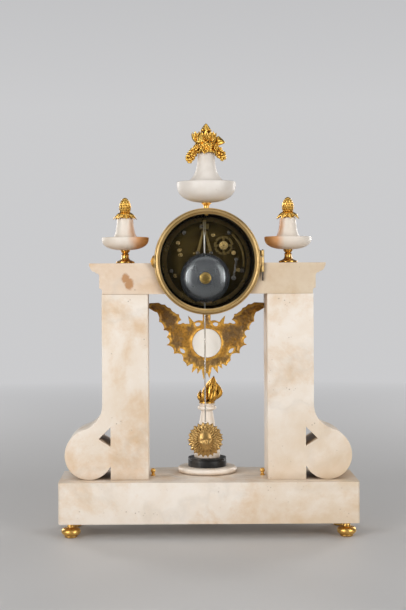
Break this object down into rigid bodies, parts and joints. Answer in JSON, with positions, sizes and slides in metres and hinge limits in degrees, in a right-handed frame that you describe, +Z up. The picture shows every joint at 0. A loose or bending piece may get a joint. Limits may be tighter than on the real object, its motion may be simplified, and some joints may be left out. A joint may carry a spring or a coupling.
{
  "type": "portico clock",
  "caption": "White marble portico clock with scrolled uprights, gilt mounts, urn finials and a glazed brass drum whose pendulum movement drives the hands and strikes a bell.",
  "frame": {"origin": "middle of the footprint, on the surface that the feet stand on", "axes": "+Z up, +Y out of the dial, +X to the right of someone who looks at the back of the clock"},
  "size_m": [0.38, 0.13, 0.5299],
  "materials": {
    "marble": "polished, aged",
    "black_marble": "polished",
    "gilt": "gilded",
    "casting": "unfinished back, gilded front",
    "biscuit": "matte",
    "brass": "aged",
    "steel": "polished",
    "iron": "rough",
    "bell_metal": "dark polished",
    "enamel": "glossy",
    "glass": "clear",
    "silk": "twisted"
  },
  "bodies": {
    "case": {"base_plinth": "marble", "bun_feet": "gilt", "upright_left": "marble", "upright_right": "marble", "lintel_left": "marble", "lintel_right": "marble", "tie_rods": "iron", "tie_nuts": "iron", "base_knobs": "gilt", "side_stem_left": "gilt", "side_stem_right": "gilt", "side_bowl_left": "marble", "side_bowl_right": "marble", "side_neck_left": "marble", "side_neck_right": "marble", "pinecone_left": "gilt", "pinecone_right": "gilt", "top_stem": "gilt", "top_bowl": "marble", "top_neck": "marble", "top_bouquet": "gilt", "torch_disc": "marble", "torch_plinth": "black_marble", "torch_shaft": "marble", "torch_flame": "gilt", "apron_mount": "casting", "apron_medallion": "biscuit", "drum_shell": "brass", "back_hinge_pin": "brass", "front_hinge_pin": "brass", "dial_plate": "brass", "dial": "enamel", "front_plate": "brass", "back_plate": "brass", "plate_pillars": "brass", "pallet_cock": "brass", "suspension_cock": "brass", "bell_stand": "steel", "bell": "bell_metal", "bell_nut": "brass"},
    "back_door": {"back_bezel": "gilt", "back_glass": "glass"},
    "front_door": {"front_bezel": "gilt", "front_glass": "glass"},
    "minute": {"minute_hand": "gilt", "centre_wheel": "brass"},
    "hour": {"hour_hand": "gilt"},
    "motion": {"minute_wheel": "brass"},
    "third": {"third_wheel": "brass"},
    "escape": {"escape_wheel": "brass"},
    "going_barrel": {"going_barrel": "brass"},
    "strike_barrel": {"strike_barrel": "brass"},
    "count": {"count_wheel": "brass"},
    "going_key_arbor": {"going_arbor": "steel"},
    "strike_key_arbor": {"strike_arbor": "steel"},
    "crutch": {"pallet_crutch": "steel"},
    "pendulum": {"suspension_silk": "silk", "pendulum_rod": "brass", "sun_mask": "gilt"},
    "hammer": {"hammer": "steel"}
  },
  "joints": [
    {"name": "back_bezel_open", "type": "hinge", "parent": "case", "child": "back_door", "pos_m": [0.0704, -0.045, 0.3495], "axis": [0, 0, 1], "range_deg": [0, 105]},
    {"name": "front_bezel_open", "type": "hinge", "parent": "case", "child": "front_door", "pos_m": [0.0704, 0.0436, 0.3585], "axis": [0, 0, -1], "range_deg": [0, 110]},
    {"name": "pendulum_swing", "type": "hinge", "parent": "case", "child": "pendulum", "pos_m": [-0.003, -0.014, 0.4025], "axis": [0, 1, 0], "range_deg": [-4.5, 4.5]},
    {"name": "crutch_swing", "type": "hinge", "parent": "case", "child": "crutch", "pos_m": [-0.003, -0.0087, 0.3865], "axis": [0, 1, 0], "range_deg": [-7, 7]},
    {"name": "minute_turn", "type": "hinge", "parent": "case", "child": "minute", "pos_m": [0, 0.0436, 0.3495], "axis": [0, 1, 0], "continuous": true},
    {"name": "hour_turn", "type": "hinge", "parent": "case", "child": "hour", "pos_m": [0, 0.0416, 0.3495], "axis": [0, 1, 0], "continuous": true},
    {"name": "motion_turn", "type": "hinge", "parent": "case", "child": "motion", "pos_m": [-0.00208, 0.032, 0.36132], "axis": [0, 1, 0], "continuous": true},
    {"name": "third_turn", "type": "hinge", "parent": "case", "child": "third", "pos_m": [-0.01657, -0.002, 0.36034], "axis": [0, 1, 0], "continuous": true},
    {"name": "escape_turn", "type": "hinge", "parent": "case", "child": "escape", "pos_m": [-0.003, 0.005, 0.3735], "axis": [0, 1, 0], "continuous": true},
    {"name": "going_turn", "type": "hinge", "parent": "case", "child": "going_barrel", "pos_m": [-0.0206, 0.01, 0.33719], "axis": [0, 1, 0], "continuous": true},
    {"name": "strike_turn", "type": "hinge", "parent": "case", "child": "strike_barrel", "pos_m": [0.0206, 0.01, 0.33719], "axis": [0, 1, 0], "continuous": true},
    {"name": "count_turn", "type": "hinge", "parent": "case", "child": "count", "pos_m": [0.022, -0.009, 0.37016], "axis": [0, 1, 0], "continuous": true},
    {"name": "going_winding", "type": "hinge", "parent": "case", "child": "going_key_arbor", "pos_m": [-0.0206, 0.04, 0.33719], "axis": [0, 1, 0], "continuous": true},
    {"name": "strike_winding", "type": "hinge", "parent": "case", "child": "strike_key_arbor", "pos_m": [0.0206, 0.04, 0.33719], "axis": [0, 1, 0], "continuous": true},
    {"name": "hammer_strike", "type": "hinge", "parent": "case", "child": "hammer", "pos_m": [0.038, -0.02, 0.3515], "axis": [0, -1, 0], "range_deg": [0, 12], "stiffness_Nm_per_rad": 0.004, "springref_deg": -8.59}
  ],
  "couplings": [
    {"joint": "crutch_swing", "follows": "pendulum_swing", "ratio": 1.479},
    {"joint": "hour_turn", "follows": "minute_turn", "ratio": 0.083333},
    {"joint": "motion_turn", "follows": "minute_turn", "ratio": -0.33333},
    {"joint": "third_turn", "follows": "minute_turn", "ratio": -10},
    {"joint": "escape_turn", "follows": "minute_turn", "ratio": 95},
    {"joint": "going_turn", "follows": "minute_turn", "ratio": -0.14286},
    {"joint": "count_turn", "follows": "strike_turn", "ratio": -1.75}
  ]
}
